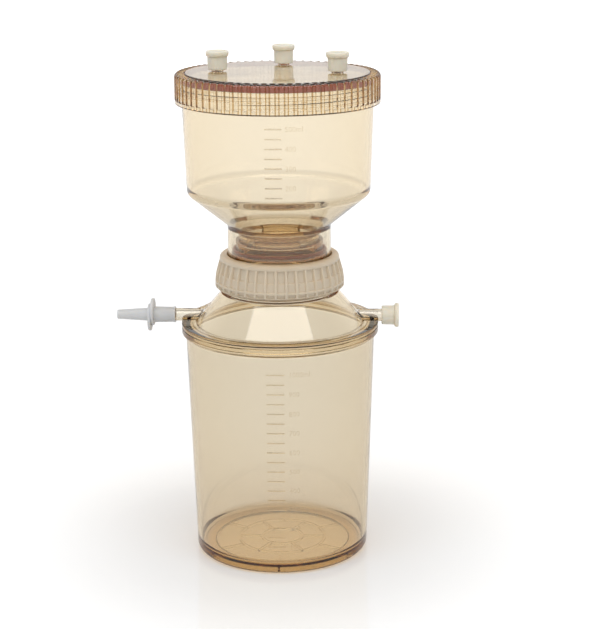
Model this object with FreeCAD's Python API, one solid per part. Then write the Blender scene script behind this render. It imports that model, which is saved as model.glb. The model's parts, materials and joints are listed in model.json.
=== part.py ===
"""Vacuum filtration unit: a screw-lidded upper chamber on a receiver vessel, joined by a threaded
locking collar over a bayonet membrane support plate.

Millimetres, +Z up. The origin is the centre of the receiver's foot, on the bench.
The receiver's two side ports lie along X. Every revolved piece turns about Z.
"""

import FreeCAD, Part
import os
from math import cos, degrees, hypot, radians, sin, tan

V = FreeCAD.Vector

# ---------------------------------------------------------------- clearances
SLIDE_GAP = 0.3  # between faces that move past each other
PUSH_FIT = 0.05  # radial, between a pushed-on cap or adapter and its tube
SPIGOT_GAP = 0.1  # radial, round the shoulder's locating spigot
FUSE_LAP = 0.4  # how far a moulded-on feature runs into its wall

# ---------------------------------------------------------------- receiver body
BODY_HEIGHT = 142.2
BODY_BASE_R = 52.9
BODY_TOP_R = 57.4
BODY_WALL = 2.5
BODY_CORNER_ROUND = 3.4
BODY_INNER_ROUND = 4.0
FLOOR_T = 3.0
FOOT_RING_WIDTH = 11.2
FOOT_RECESS_DEPTH = 2.0
BASE_RIB_T = 1.2
BASE_RIB_HEIGHT = 1.2
BASE_INNER_RING_R = 12.5
BASE_OUTER_RING_R = 26.7
BASE_SPOKES = 6
RIM_PROJECTION = 2.3  # how far the rim stands out from the body's top radius
RIM_T = 3.6
RIM_FLARE = 1.8  # height of the sloping underside of the rim

# ---------------------------------------------------------------- receiver shoulder
FLANGE_T = 2.6
SHOULDER_WALL = 2.5
SHOULDER_RISE = 18.2  # flange top to neck root
FLANGE_LEDGE = 8.7  # flat ledge between the rim's edge and the foot of the cone
SHOULDER_TOP_R = 35.5
SHOULDER_FOOT_ROUND = 1.5
SPIGOT_DEPTH = 3.5
SPIGOT_T = 1.8
NECK_HEIGHT = 16.0
NECK_R = 32.4
NECK_WALL = 3.8
NECK_BEAD_R = 34.0  # bead round the neck's root
NECK_BEAD_T = 1.2
NECK_MOUTH_ROUND = 0.8

# ---------------------------------------------------------------- receiver side ports
PORT_R = 3.8
PORT_BORE_R = 2.2
PORT_PROJECTION = 9.6  # how far each tube stands out past the rim
PORT_ABOVE_FLANGE = 2.8  # tube axis above the flange's top
GUSSET_T = 1.6
GUSSET_LENGTH = 8.4  # from the cone out along the tube
GUSSET_HEIGHT = 4.2

# ---------------------------------------------------------------- neck seal and locking collar
NECK_GASKET_T = 1.5
GASKET_INSET = 0.3  # a flat gasket's edges inside the faces that grip it
COLLAR_CELL_DEPTH = 0.9
COLLAR_TIER_STEP = 0.8  # the lower tier of cells is this much thicker
COLLAR_BASE_GAP = 0.6  # above the neck's root
COLLAR_THREAD_ROOM = 2.4  # radial room round the neck for both threads
COLLAR_SEAT_ROOM = 0.6  # radial room round the skirt's flange
COLLAR_WALL = 4.1  # bore to the belly's widest
COLLAR_LIP_T = 2.4
COLLAR_LIP_GAP = 0.5  # radial, between the lip and the chamber's skirt
COLLAR_BELLY_RISE = 6.8  # foot to the belly's widest
COLLAR_LEDGE_RISE = 12.2  # foot to the ledge between the two tiers of cells
COLLAR_LEDGE_DRAFT = 0.7  # how far the belly draws in to the ledge
COLLAR_TOP_DRAFT = 2.8  # how far it draws in to its smooth top band
COLLAR_TOP_BAND = 3.2
COLLAR_ROUND = 1.8
COLLAR_FOOT_DRAFT = 3.3  # how far the smooth foot draws in
COLLAR_FOOT_CHAMFER = 2.3  # height of its slope
COLLAR_FOOT_RISE = 3.4  # height of the smooth foot
COLLAR_BAND_T = 1.0  # hoop under the lower cells
COLLAR_RIBS = 38
COLLAR_RIB_T = 2.4
COLLAR_FIRST_RIB = 4.0  # degrees

# ---------------------------------------------------------------- upper chamber
SKIRT_R = 31.0
SKIRT_WALL = 2.0
SKIRT_FLANGE_R = 32.9
SKIRT_FLANGE_T = 3.2
SKIRT_HEIGHT = 24.0  # seal face to the foot of the cone
CHAMBER_WALL = 2.5
CONE_RISE = 19.4
CHAMBER_BASE_R = 54.8
CHAMBER_TOP_R = 57.1
CHAMBER_WALL_HEIGHT = 64.5
CHAMBER_CORNER_ROUND = 5.0
CHAMBER_INNER_ROUND = 3.0
CHAMBER_RIM_ROUND = 0.6
ORIFICE_R = 20.0
LIP_R = 24.5
LIP_DROP = 8.5  # foot of the cone down to the underside of the lip
BEAD_R = 21.9  # middle of the sealing bead under the lip
BEAD_T = 2.4
BEAD_DROP = 1.0
LUG_HALF_ANGLE = 50.0
LUG_T = 3.5
LUG_DEPTH = 2.4

# ---------------------------------------------------------------- membrane support plate
PLATE_GAP = 0.4  # between the bead and the recess it presses a membrane into
PLATE_FLANGE_T = 1.8
PLATE_HUB_GAP = 0.3  # radial, between the hub and the chamber's lugs
MEMBRANE_RECESS_R = 23.8
MEMBRANE_RECESS_DEPTH = 0.8
EAR_HALF_ANGLE = 28.0
EAR_RISE = 2.9  # above the plate's rim
EAR_ROOT = 0.9  # below the plate's rim
GRID_T = 2.0
GRID_R = 20.4
GRID_HUB_R = 3.0
GRID_RINGS = 5
GRID_SPOKES = 12
GRID_BAR = 1.2
DRAIN_R = 21.6
SEAL_RING_T = 2.0

# ---------------------------------------------------------------- lid
LID_GASKET_T = 4.4
LID_GASKET_WIDTH = 4.0
LID_TOP_T = 2.4
LID_THREAD_ROOM = 1.3  # radial room outside the chamber's rim for both threads
LID_WALL = 1.6
LID_DEPTH = 17.7
LID_RIM_WIDTH = 6.5  # ribbed margin round the flat top
LID_SHOULDER_ROUND = 2.4
LID_RIBS = 72
LID_RIB_T = 0.8
LID_RIB_HEIGHT = 0.6
LID_PORT_INSET = 21.6  # from the chamber's top radius in to the circle of ports
LID_PORT_R = 3.5
LID_PORT_BORE_R = 2.0
LID_PORT_HEIGHT = 10.2
LID_PORT_ANGLES = {"right": -7.0, "rear": 87.0, "left": 177.0}

# ---------------------------------------------------------------- port caps
LID_CAP_LENGTH = 11.0
SIDE_CAP_LENGTH = 10.4
CAP_WALL = 1.85
CAP_DRAFT = 0.2
CAP_RIM_PROJECTION = 1.3
CAP_RIM_T = 2.4
CAP_STANDOFF = 1.0  # lid top to the cap's open end
CAP_DISH_DEPTH = 0.7
CAP_DISH_WALL = 1.4
CAP_ROUND = 0.5

# ---------------------------------------------------------------- hose coupling
SOCKET_LENGTH = 14.8
SOCKET_OVERLAP = 5.7  # length of the port tube inside the socket
SOCKET_WALL = 0.75
SOCKET_DRAFT = 0.25
SOCKET_RING_T = 1.2
SOCKET_RING_HEIGHT = 0.25
COUPLING_FLANGE_R = 8.3
COUPLING_FLANGE_T = 1.8
COUPLING_FLANGE_ROUND = 0.5
COUPLING_OFFSET = 1.7  # each flange's centre above or below the axis, as a finger grip
NOSE_LENGTH = 6.6
NOSE_ROOT_R = 3.3
NOSE_TIP_R = 3.0
TAIL_BORE_R = 1.6
TAIL_LENGTH = 19.0
TAIL_ROOT_R = 4.0
TAIL_TIP_R = 2.8

# ---------------------------------------------------------------- levels that follow
body_wall_draft = (BODY_TOP_R - BODY_BASE_R) / BODY_HEIGHT
foot_recess_r = BODY_BASE_R - FOOT_RING_WIDTH
rim_r = BODY_TOP_R + RIM_PROJECTION
shoulder_foot_r = rim_r - FLANGE_LEDGE
flange_top = BODY_HEIGHT + FLANGE_T
shoulder_steepness = SHOULDER_RISE / (shoulder_foot_r - SHOULDER_TOP_R)
neck_root = flange_top + SHOULDER_RISE
neck_top = neck_root + NECK_HEIGHT
neck_bore_r = NECK_R - NECK_WALL
port_level = flange_top + PORT_ABOVE_FLANGE
port_reach = rim_r + PORT_PROJECTION

skirt_foot = neck_top + NECK_GASKET_T
skirt_bore_r = SKIRT_R - SKIRT_WALL
cone_foot = skirt_foot + SKIRT_HEIGHT
cone_top = cone_foot + CONE_RISE
chamber_rim = cone_top + CHAMBER_WALL_HEIGHT
cone_slope = CONE_RISE / (CHAMBER_BASE_R - SKIRT_R)
cone_wall_up = CHAMBER_WALL * hypot(1.0, cone_slope)
lip_underside = cone_foot - LIP_DROP

collar_lip_underside = skirt_foot + SKIRT_FLANGE_T + SLIDE_GAP
collar_top = collar_lip_underside + COLLAR_LIP_T
collar_foot = neck_root + COLLAR_BASE_GAP
collar_bore_r = NECK_R + COLLAR_THREAD_ROOM
collar_seat_r = SKIRT_FLANGE_R + COLLAR_SEAT_ROOM
collar_belly_r = collar_bore_r + COLLAR_WALL

bead_underside = lip_underside - BEAD_DROP
recess_floor = bead_underside - PLATE_GAP
plate_rim = recess_floor + MEMBRANE_RECESS_DEPTH
plate_r = skirt_bore_r - PLATE_GAP
lug_r = skirt_bore_r - LUG_DEPTH
hub_r = lug_r - PLATE_HUB_GAP
ear_underside = plate_rim - EAR_ROOT
lug_top = ear_underside - SLIDE_GAP
lug_underside = lug_top - LUG_T
plate_flange_top = lug_underside - SLIDE_GAP - SEAL_RING_T
plate_foot = plate_flange_top - PLATE_FLANGE_T

lid_underside = chamber_rim + LID_GASKET_T
lid_top = lid_underside + LID_TOP_T
lid_foot = lid_top - LID_DEPTH
lid_bore_r = CHAMBER_TOP_R + LID_THREAD_ROOM
lid_cell_r = lid_bore_r + LID_WALL
lid_r = lid_cell_r + LID_RIB_HEIGHT
lid_port_circle_r = CHAMBER_TOP_R - LID_PORT_INSET

cap_foot = lid_top + CAP_STANDOFF
socket_tip = port_reach - SOCKET_OVERLAP
coupling_plane = socket_tip + SOCKET_LENGTH


# ---------------------------------------------------------------- drawing helpers
def rounded_edges(corners):
    """Edges of a closed outline in the XZ plane. A corner is (r, z) or (r, z, round)."""
    starts, ends, arcs = [], [], []
    count = len(corners)
    for i, corner in enumerate(corners):
        here = V(corner[0], 0, corner[1])
        before = V(corners[i - 1][0], 0, corners[i - 1][1])
        after = V(corners[(i + 1) % count][0], 0, corners[(i + 1) % count][1])
        if len(corner) < 3:
            starts.append(here)
            ends.append(here)
            arcs.append(None)
            continue
        back = (before - here).normalize()
        ahead = (after - here).normalize()
        half = back.getAngle(ahead) / 2
        reach = corner[2] / tan(half)
        middle = here + (back + ahead).normalize() * (corner[2] / sin(half) - corner[2])
        starts.append(here + back * reach)
        ends.append(here + ahead * reach)
        arcs.append(Part.Arc(starts[-1], middle, ends[-1]).toShape())
    edges = []
    for i in range(count):
        if arcs[i]:
            edges.append(arcs[i])
        nearest, farthest = ends[i], starts[(i + 1) % count]
        if (farthest - nearest).Length > 1e-6:
            edges.append(Part.LineSegment(nearest, farthest).toShape())
    return edges


def turned(corners, start=0.0, sweep=360.0):
    """Solid of revolution about Z, from start degrees through sweep degrees."""
    face = Part.Face(Part.Wire(rounded_edges(corners)))
    solid = face.revolve(V(0, 0, 0), V(0, 0, 1), sweep)
    solid.rotate(V(0, 0, 0), V(0, 0, 1), start)
    return solid


def ring(inner_r, outer_r, low, high, start=0.0, sweep=360.0):
    return turned([(inner_r, low), (outer_r, low), (outer_r, high), (inner_r, high)], start, sweep)


def centred_ring(inner_r, outer_r, low, high, middle, half_angle):
    return ring(inner_r, outer_r, low, high, middle - half_angle, 2 * half_angle)


def blade(inner_r, outer_r, low, high, thickness, angle):
    """Upright radial plate."""
    plate = Part.makeBox(outer_r - inner_r, thickness, high - low, V(inner_r, -thickness / 2, low))
    plate.rotate(V(0, 0, 0), V(0, 0, 1), angle)
    return plate


def blades(count, inner_r, outer_r, low, high, thickness, first=0.0):
    step = 360.0 / count
    return [blade(inner_r, outer_r, low, high, thickness, first + i * step) for i in range(count)]


def meet(point_a, slope_a, point_b, slope_b):
    """Where two lines cross, each given by an (r, z) point and its rise in z per unit of r."""
    r = (point_b[1] - point_a[1] + slope_a * point_a[0] - slope_b * point_b[0]) / (slope_a - slope_b)
    return r, point_a[1] + slope_a * (r - point_a[0])


def along_x(solid, level, side):
    """Carries a solid turned about Z to lie along +X (side 1) or -X (side -1) at a level."""
    solid.rotate(V(0, 0, 0), V(0, 1, 0), 90 * side)
    solid.translate(V(0, 0, level))
    return solid


# ---------------------------------------------------------------- receiver
def receiver_body():
    """Drafted vessel with a recessed, ribbed underside and an outturned rim."""
    floor_top = FOOT_RECESS_DEPTH + FLOOR_T
    rim_underside = BODY_HEIGHT - RIM_T
    flare_foot = rim_underside - RIM_FLARE
    inner_base_r = BODY_BASE_R + body_wall_draft * floor_top - BODY_WALL
    flare_r = BODY_BASE_R + body_wall_draft * flare_foot
    body = turned([
        (0, FOOT_RECESS_DEPTH),
        (foot_recess_r, FOOT_RECESS_DEPTH),
        (foot_recess_r, 0),
        (BODY_BASE_R, 0, BODY_CORNER_ROUND),
        (flare_r, flare_foot),
        (rim_r, rim_underside),
        (rim_r, BODY_HEIGHT),
        (BODY_TOP_R - BODY_WALL, BODY_HEIGHT),
        (inner_base_r, floor_top, BODY_INNER_ROUND),
        (0, floor_top),
    ])
    rib_foot = FOOT_RECESS_DEPTH - BASE_RIB_HEIGHT
    rib_top = FOOT_RECESS_DEPTH + FUSE_LAP
    half = BASE_RIB_T / 2
    ribs = [ring(r - half, r + half, rib_foot, rib_top) for r in (BASE_INNER_RING_R, BASE_OUTER_RING_R)]
    ribs += blades(BASE_SPOKES, BASE_INNER_RING_R, BASE_OUTER_RING_R, rib_foot, rib_top, BASE_RIB_T)
    ribs += blades(BASE_SPOKES, BASE_OUTER_RING_R, foot_recess_r + FUSE_LAP, rib_foot, rib_top,
                   BASE_RIB_T, 180.0 / BASE_SPOKES)
    return body.fuse(ribs)


def side_port(side):
    """Plain tube on the shoulder, with its gusset; its bore is cut by the shoulder."""
    root = shoulder_foot_r - SHOULDER_WALL
    tube = along_x(ring(PORT_BORE_R, PORT_R, root, port_reach), port_level, side)
    top = port_level + PORT_R - FUSE_LAP
    cone_r = shoulder_foot_r - (top + GUSSET_HEIGHT - flange_top) / shoulder_steepness
    heel = cone_r - SHOULDER_WALL / 2
    toe = cone_r + GUSSET_LENGTH
    outline = Part.makePolygon([
        V(side * toe, 0, top),
        V(side * heel, 0, top),
        V(side * heel, 0, top + GUSSET_HEIGHT),
        V(side * cone_r, 0, top + GUSSET_HEIGHT),
        V(side * toe, 0, top),
    ])
    gusset = Part.Face(outline).extrude(V(0, GUSSET_T, 0))
    gusset.translate(V(0, -GUSSET_T / 2, 0))
    return tube, gusset


def receiver_shoulder():
    """Flange, cone, neck and side ports, welded onto the body's rim."""
    slope = -shoulder_steepness
    wall_up = SHOULDER_WALL * hypot(1.0, slope)
    spigot_r = BODY_TOP_R - BODY_WALL - SPIGOT_GAP
    spigot_foot = BODY_HEIGHT - SPIGOT_DEPTH
    spigot_bore_r = spigot_r - body_wall_draft * SPIGOT_DEPTH - SPIGOT_T
    cone_line = (shoulder_foot_r, flange_top - wall_up)
    inner_foot = meet(cone_line, slope, (0, BODY_HEIGHT), 0.0)
    inner_top = (neck_bore_r, cone_line[1] + slope * (neck_bore_r - shoulder_foot_r))
    ceiling_r = min(inner_foot[0], spigot_bore_r - FUSE_LAP)
    shell = turned([
        inner_top,
        (ceiling_r, cone_line[1] + slope * (ceiling_r - shoulder_foot_r)),
        (spigot_bore_r, BODY_HEIGHT),
        (spigot_bore_r, spigot_foot),
        (spigot_r - body_wall_draft * SPIGOT_DEPTH, spigot_foot),
        (spigot_r, BODY_HEIGHT),
        (rim_r, BODY_HEIGHT),
        (rim_r, flange_top, 0.6),
        (shoulder_foot_r, flange_top, SHOULDER_FOOT_ROUND),
        (SHOULDER_TOP_R, neck_root),
        (NECK_BEAD_R, neck_root),
        (NECK_BEAD_R, neck_root + NECK_BEAD_T),
        (NECK_R, neck_root + NECK_BEAD_T),
        (NECK_R, neck_top, NECK_MOUTH_ROUND),
        (neck_bore_r, neck_top),
    ])
    hollow = turned([
        (0, spigot_foot),
        (spigot_bore_r, spigot_foot),
        (spigot_bore_r, BODY_HEIGHT),
        (ceiling_r, cone_line[1] + slope * (ceiling_r - shoulder_foot_r)),
        inner_top,
        (0, inner_top[1]),
    ])
    tubes, bores = [], []
    for side in (-1, 1):
        tube, gusset = side_port(side)
        tubes += [tube, gusset]
        bores.append(along_x(ring(0, PORT_BORE_R, neck_bore_r, port_reach), port_level, side))
    return shell.fuse(tubes).cut([hollow] + bores)


def neck_gasket():
    return ring(neck_bore_r + GASKET_INSET, NECK_R - NECK_MOUTH_ROUND, neck_top, skirt_foot)


# ---------------------------------------------------------------- locking collar
def locking_collar():
    """Threaded ring with two tiers of grip cells and an inturned lip that grips the chamber's foot."""
    foot_top = collar_foot + COLLAR_FOOT_RISE
    belly = collar_foot + COLLAR_BELLY_RISE
    ledge = collar_foot + COLLAR_LEDGE_RISE
    band_foot = collar_top - COLLAR_TOP_BAND
    ledge_r = collar_belly_r - COLLAR_LEDGE_DRAFT
    band_r = collar_belly_r - COLLAR_TOP_DRAFT
    lip_r = SKIRT_R + COLLAR_LIP_GAP
    core = turned([
        (collar_bore_r, collar_foot),
        (collar_belly_r - COLLAR_FOOT_DRAFT, collar_foot),
        (collar_belly_r, collar_foot + COLLAR_FOOT_CHAMFER, COLLAR_ROUND),
        (collar_belly_r, foot_top),
        (collar_belly_r - COLLAR_CELL_DEPTH, foot_top),
        (collar_belly_r - COLLAR_CELL_DEPTH, belly),
        (ledge_r - COLLAR_CELL_DEPTH, ledge),
        (ledge_r - COLLAR_CELL_DEPTH - COLLAR_TIER_STEP, ledge),
        (band_r - COLLAR_CELL_DEPTH, band_foot),
        (band_r, band_foot),
        (band_r, collar_top, COLLAR_ROUND),
        (lip_r, collar_top),
        (lip_r, collar_lip_underside),
        (collar_seat_r, collar_lip_underside),
        (collar_seat_r, neck_top),
        (collar_bore_r, neck_top),
    ])
    crest = turned([
        (collar_bore_r + COLLAR_CELL_DEPTH, foot_top),
        (collar_belly_r, foot_top),
        (collar_belly_r, belly),
        (ledge_r, ledge),
        (band_r, band_foot),
        (collar_seat_r + COLLAR_CELL_DEPTH, band_foot),
    ])
    fins = blades(COLLAR_RIBS, collar_bore_r, collar_belly_r + COLLAR_WALL, collar_foot, collar_top,
                  COLLAR_RIB_T, COLLAR_FIRST_RIB)
    band = ring(collar_bore_r + COLLAR_CELL_DEPTH, collar_belly_r, belly - COLLAR_BAND_T, belly)
    return core.fuse([crest.common(Part.makeCompound(fins)), band])


# ---------------------------------------------------------------- upper chamber
def upper_chamber():
    """Drafted cup on a cone, with an orifice lip inside the skirt that the collar grips."""
    wall_slope = CHAMBER_WALL_HEIGHT / (CHAMBER_TOP_R - CHAMBER_BASE_R)
    inner_corner = meet(
        (CHAMBER_TOP_R - CHAMBER_WALL, chamber_rim), wall_slope,
        (SKIRT_R, cone_foot + cone_wall_up), cone_slope,
    )
    orifice_top = cone_foot + cone_wall_up - cone_slope * (SKIRT_R - ORIFICE_R)
    ceiling_at_lip = cone_foot - cone_slope * (SKIRT_R - LIP_R)
    ceiling_at_skirt = cone_foot - cone_slope * SKIRT_WALL
    shell = turned([
        (skirt_bore_r, skirt_foot),
        (SKIRT_FLANGE_R, skirt_foot),
        (SKIRT_FLANGE_R, skirt_foot + SKIRT_FLANGE_T),
        (SKIRT_R, skirt_foot + SKIRT_FLANGE_T),
        (SKIRT_R, cone_foot),
        (CHAMBER_BASE_R, cone_top, CHAMBER_CORNER_ROUND),
        (CHAMBER_TOP_R, chamber_rim, CHAMBER_RIM_ROUND),
        (CHAMBER_TOP_R - CHAMBER_WALL, chamber_rim),
        (inner_corner[0], inner_corner[1], CHAMBER_INNER_ROUND),
        (ORIFICE_R, orifice_top),
        (ORIFICE_R, lip_underside),
        (BEAD_R - BEAD_T / 2, lip_underside),
        (BEAD_R - BEAD_T / 2, bead_underside),
        (BEAD_R + BEAD_T / 2, bead_underside),
        (BEAD_R + BEAD_T / 2, lip_underside),
        (LIP_R, lip_underside),
        (LIP_R, ceiling_at_lip),
        (skirt_bore_r, ceiling_at_skirt),
    ])
    lugs = [
        centred_ring(lug_r, skirt_bore_r + FUSE_LAP, lug_underside, lug_top, middle, LUG_HALF_ANGLE)
        for middle in (90.0, 270.0)
    ]
    return shell.fuse(lugs)


# ---------------------------------------------------------------- membrane support plate
def support_plate():
    """Grid disc in a hub, with a flange under the seal ring and two bayonet ears over the lugs."""
    hub = turned([
        (0, recess_floor - GRID_T),
        (DRAIN_R, recess_floor - GRID_T),
        (DRAIN_R, plate_foot),
        (plate_r, plate_foot, 0.5),
        (plate_r, plate_flange_top),
        (hub_r, plate_flange_top),
        (hub_r, plate_rim),
        (MEMBRANE_RECESS_R, plate_rim),
        (MEMBRANE_RECESS_R, recess_floor),
        (0, recess_floor),
    ])
    ear_inner_r = LIP_R + SLIDE_GAP
    ears = []
    for middle in (90.0, 270.0):
        ears.append(centred_ring(ear_inner_r, plate_r, ear_underside, plate_rim + EAR_RISE,
                                 middle, EAR_HALF_ANGLE))
    pitch = (GRID_R - GRID_HUB_R) / GRID_RINGS
    half_bar = GRID_BAR / 2
    slots = []
    for row in range(GRID_RINGS):
        inner_r = GRID_HUB_R + row * pitch + half_bar
        outer_r = inner_r + pitch - GRID_BAR
        count = GRID_SPOKES if row > 1 else GRID_SPOKES // 2
        half_angle = 180.0 / count - degrees(half_bar / inner_r)
        for i in range(count):
            slots.append(centred_ring(inner_r, outer_r, recess_floor - GRID_T, recess_floor,
                                      i * 360.0 / count, half_angle))
    return hub.fuse(ears).cut(slots)


def plate_seal_ring():
    """Red O-ring round the hub, on the plate's flange."""
    radius = SEAL_RING_T / 2
    return Part.makeTorus(hub_r + SLIDE_GAP / 2 + radius, radius, V(0, 0, plate_flange_top + radius))


# ---------------------------------------------------------------- lid
def lid_port_place(side):
    angle = radians(LID_PORT_ANGLES[side])
    return V(lid_port_circle_r * cos(angle), lid_port_circle_r * sin(angle), 0)


def lid():
    """Screw lid: ribbed skirt and shoulder, flat top with three port tubes."""
    cell_top = lid_top - LID_RIB_HEIGHT
    flat_r = lid_r - LID_RIM_WIDTH
    shell = turned([
        (0, lid_underside),
        (lid_bore_r, lid_underside),
        (lid_bore_r, lid_foot),
        (lid_r, lid_foot),
        (lid_r, lid_foot + LID_RIB_HEIGHT),
        (lid_cell_r, lid_foot + LID_RIB_HEIGHT),
        (lid_cell_r, cell_top, LID_SHOULDER_ROUND - LID_RIB_HEIGHT),
        (flat_r, cell_top),
        (flat_r, lid_top),
        (0, lid_top),
    ])
    inset = LID_WALL / 2
    crest = turned([
        (lid_cell_r - inset, lid_foot),
        (lid_r, lid_foot),
        (lid_r, lid_top, LID_SHOULDER_ROUND),
        (flat_r - inset, lid_top),
        (flat_r - inset, cell_top - inset),
        (lid_cell_r - inset, cell_top - inset),
    ])
    fins = blades(LID_RIBS, flat_r - inset, lid_r + inset, lid_foot, lid_top + inset, LID_RIB_T)
    solid = shell.fuse(crest.common(Part.makeCompound(fins)))
    tubes, bores = [], []
    for side in LID_PORT_ANGLES:
        place = lid_port_place(side)
        low, high = lid_underside, lid_top + LID_PORT_HEIGHT
        tubes.append(Part.makeCylinder(LID_PORT_R, high - low, place + V(0, 0, low)))
        bores.append(Part.makeCylinder(LID_PORT_BORE_R, high - low, place + V(0, 0, low)))
    return solid.fuse(tubes).cut(bores)


def lid_gasket():
    middle_r = CHAMBER_TOP_R - CHAMBER_WALL / 2
    return ring(middle_r - LID_GASKET_WIDTH / 2, middle_r + LID_GASKET_WIDTH / 2, chamber_rim, lid_underside)


# ---------------------------------------------------------------- port caps
def port_cap(tube_r, tube_inside, length):
    """Soft stopper cap: open end at Z = 0, turned about Z, rim and dished face at its closed end."""
    bore_r = tube_r + PUSH_FIT
    body_r = bore_r + CAP_WALL
    rim_r_out = body_r + CAP_RIM_PROJECTION
    depth = tube_inside + SLIDE_GAP
    return turned([
        (bore_r, 0),
        (body_r - CAP_DRAFT, 0, CAP_ROUND),
        (body_r, length - CAP_RIM_T),
        (rim_r_out, length - CAP_RIM_T, CAP_ROUND),
        (rim_r_out, length, CAP_ROUND),
        (rim_r_out - CAP_DISH_WALL, length),
        (rim_r_out - CAP_DISH_WALL, length - CAP_DISH_DEPTH),
        (0, length - CAP_DISH_DEPTH),
        (0, depth),
        (bore_r, depth),
    ])


def lid_port_cap(side):
    cap = port_cap(LID_PORT_R, LID_PORT_HEIGHT - CAP_STANDOFF, LID_CAP_LENGTH)
    cap.translate(lid_port_place(side) + V(0, 0, cap_foot))
    return cap


def side_port_cap():
    tube_inside = SIDE_CAP_LENGTH - CAP_DISH_DEPTH - CAP_WALL - SLIDE_GAP
    cap = port_cap(PORT_R, tube_inside, SIDE_CAP_LENGTH)
    cap.translate(V(0, 0, port_reach - tube_inside))
    return along_x(cap, port_level, 1)


# ---------------------------------------------------------------- hose coupling
def offset_flange(near, far, rise):
    """Round finger flange across the coupling's axis, its centre offset by rise."""
    flange = turned([
        (0, near),
        (COUPLING_FLANGE_R, near, COUPLING_FLANGE_ROUND),
        (COUPLING_FLANGE_R, far, COUPLING_FLANGE_ROUND),
        (0, far),
    ])
    flange.translate(V(rise, 0, 0))
    return flange


def hose_socket():
    """Coupling half that pushes over the port tube; its face takes the tail's nose."""
    bore_r = PORT_R + PUSH_FIT
    outer_r = bore_r + SOCKET_WALL
    mouth_r = NOSE_ROOT_R + PUSH_FIT
    throat_r = NOSE_TIP_R + PUSH_FIT
    throat = port_reach + SLIDE_GAP
    barrel = turned([
        (0, socket_tip),
        (outer_r + SOCKET_RING_HEIGHT, socket_tip),
        (outer_r + SOCKET_RING_HEIGHT, socket_tip + SOCKET_RING_T),
        (outer_r, socket_tip + SOCKET_RING_T),
        (outer_r + SOCKET_DRAFT, coupling_plane),
        (0, coupling_plane),
    ])
    grip = offset_flange(coupling_plane - COUPLING_FLANGE_T, coupling_plane, COUPLING_OFFSET)
    bore = turned([
        (0, socket_tip),
        (bore_r, socket_tip),
        (bore_r, throat),
        (throat_r, throat),
        (mouth_r, coupling_plane),
        (0, coupling_plane),
    ])
    return along_x(barrel.fuse(grip).cut(bore), port_level, -1)


def hose_tail():
    """Coupling half with a tapered hose tail and the nose that seats in the socket."""
    flange_far = coupling_plane + COUPLING_FLANGE_T
    tip = coupling_plane + COUPLING_FLANGE_T + TAIL_LENGTH
    nose_tip = coupling_plane - NOSE_LENGTH
    barrel = turned([
        (0, nose_tip),
        (NOSE_TIP_R, nose_tip),
        (NOSE_ROOT_R, coupling_plane),
        (NOSE_ROOT_R, flange_far - COUPLING_FLANGE_T / 2),
        (TAIL_ROOT_R, flange_far - COUPLING_FLANGE_T / 2),
        (TAIL_ROOT_R, flange_far),
        (TAIL_TIP_R, tip, COUPLING_FLANGE_ROUND),
        (0, tip),
    ])
    grip = offset_flange(coupling_plane, flange_far, -COUPLING_OFFSET)
    bore = ring(0, TAIL_BORE_R, nose_tip, tip)
    return along_x(barrel.fuse(grip).cut(bore), port_level, -1)


# ---------------------------------------------------------------- all pieces
def pieces():
    solids = {
        "receiver_body": receiver_body(),
        "receiver_shoulder": receiver_shoulder(),
        "neck_gasket": neck_gasket(),
        "locking_collar": locking_collar(),
        "upper_chamber": upper_chamber(),
        "support_plate": support_plate(),
        "plate_seal_ring": plate_seal_ring(),
        "lid": lid(),
        "lid_gasket": lid_gasket(),
        "side_port_cap": side_port_cap(),
        "hose_socket": hose_socket(),
        "hose_tail": hose_tail(),
    }
    for side in LID_PORT_ANGLES:
        solids["lid_port_cap_" + side] = lid_port_cap(side)
    return solids


os.makedirs("parts", exist_ok=True)
for node, shape in pieces().items():
    shape.exportStep("parts/" + node + ".step")
    print(node, round(shape.Volume, 1), len(shape.Solids), shape.isValid())
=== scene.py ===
"""Vacuum filtration unit in clear amber plastic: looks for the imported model.

Outlines are (r, z) corners in millimetres in the row frame; meshes are made in metres.
"""

import json
from math import ceil, cos, degrees, hypot, pi, radians, sin, tan, tau

import bmesh
import bpy
from mathutils import Matrix, Vector

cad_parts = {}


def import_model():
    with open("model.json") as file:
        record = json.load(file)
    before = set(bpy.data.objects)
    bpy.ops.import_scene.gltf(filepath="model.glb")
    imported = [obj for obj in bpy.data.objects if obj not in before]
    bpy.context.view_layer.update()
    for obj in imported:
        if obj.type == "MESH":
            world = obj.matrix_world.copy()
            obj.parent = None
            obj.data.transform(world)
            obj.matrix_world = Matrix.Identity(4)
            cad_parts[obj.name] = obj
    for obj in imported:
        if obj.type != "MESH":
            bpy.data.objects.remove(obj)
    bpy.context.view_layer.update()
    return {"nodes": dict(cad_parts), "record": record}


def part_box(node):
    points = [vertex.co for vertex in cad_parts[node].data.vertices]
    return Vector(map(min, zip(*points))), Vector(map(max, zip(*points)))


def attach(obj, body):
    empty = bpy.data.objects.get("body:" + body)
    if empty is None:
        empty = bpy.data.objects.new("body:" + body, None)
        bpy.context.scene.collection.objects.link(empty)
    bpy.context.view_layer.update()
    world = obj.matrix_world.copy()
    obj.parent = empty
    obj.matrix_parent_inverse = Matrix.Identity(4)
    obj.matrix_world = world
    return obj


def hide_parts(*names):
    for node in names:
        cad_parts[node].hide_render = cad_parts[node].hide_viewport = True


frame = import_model()
MM = 0.001


# ---------------------------------------------------------------- sizes the frame gives
def box(node):
    low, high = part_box(node)
    return Vector(low) / MM, Vector(high) / MM


body_low, body_high = box("receiver_body")
shoulder_high = box("receiver_shoulder")[1]
collar_low, collar_high = box("locking_collar")
chamber_low, chamber_high = box("upper_chamber")
lid_low, lid_high = box("lid")
lid_gasket_high = box("lid_gasket")[1]

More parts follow.
